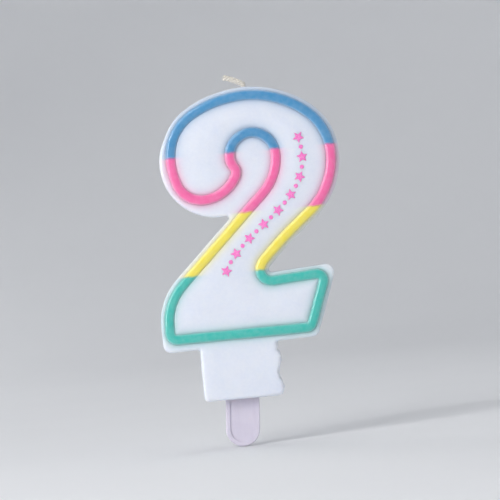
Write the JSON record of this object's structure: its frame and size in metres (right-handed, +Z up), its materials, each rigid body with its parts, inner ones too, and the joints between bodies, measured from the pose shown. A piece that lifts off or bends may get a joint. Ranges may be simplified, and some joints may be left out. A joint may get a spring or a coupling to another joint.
{
  "type": "number birthday candle",
  "caption": "Flat wax numeral two candle with a raised coloured outline, a bent wick and a plastic blade that pushes into a cake.",
  "frame": {"origin": "on the pick's axis, in the plane of the tang's bottom face, which rests on the cake's top", "axes": "+Z up along the pick, the decorated front faces -Y, +X to the numeral's right as seen from the front"},
  "size_m": [0.054, 0.0109, 0.1041],
  "materials": {
    "white_wax": "satin",
    "blue_wax": "satin",
    "pink_wax": "satin",
    "yellow_wax": "satin",
    "green_wax": "satin",
    "pink_print": "satin",
    "cotton_wick": "waxed",
    "white_plastic": "satin"
  },
  "bodies": {
    "pick": {"cake_pick": "white_plastic"},
    "candle": {"wax_body": "white_wax", "blue_outer_bead": "blue_wax", "blue_inner_bead": "blue_wax", "pink_hook_bead": "pink_wax", "pink_inner_bead": "pink_wax", "pink_outer_bead": "pink_wax", "yellow_left_bead": "yellow_wax", "yellow_right_bead": "yellow_wax", "green_bead": "green_wax", "star_decals": "pink_print", "wick_core": "cotton_wick"},
    "wick_tip": {"wick_tip": "cotton_wick"}
  },
  "joints": [
    {"name": "candle_lift", "type": "slide", "parent": "pick", "child": "candle", "axis": [0.0785, 0, 0.9969], "range_m": [0, 0.025]},
    {"name": "wick_bend", "type": "hinge", "parent": "candle", "child": "wick_tip", "pos_m": [0.0086, 0, 0.0875], "axis": [0, 1, 0], "range_deg": [-15, 115]}
  ]
}
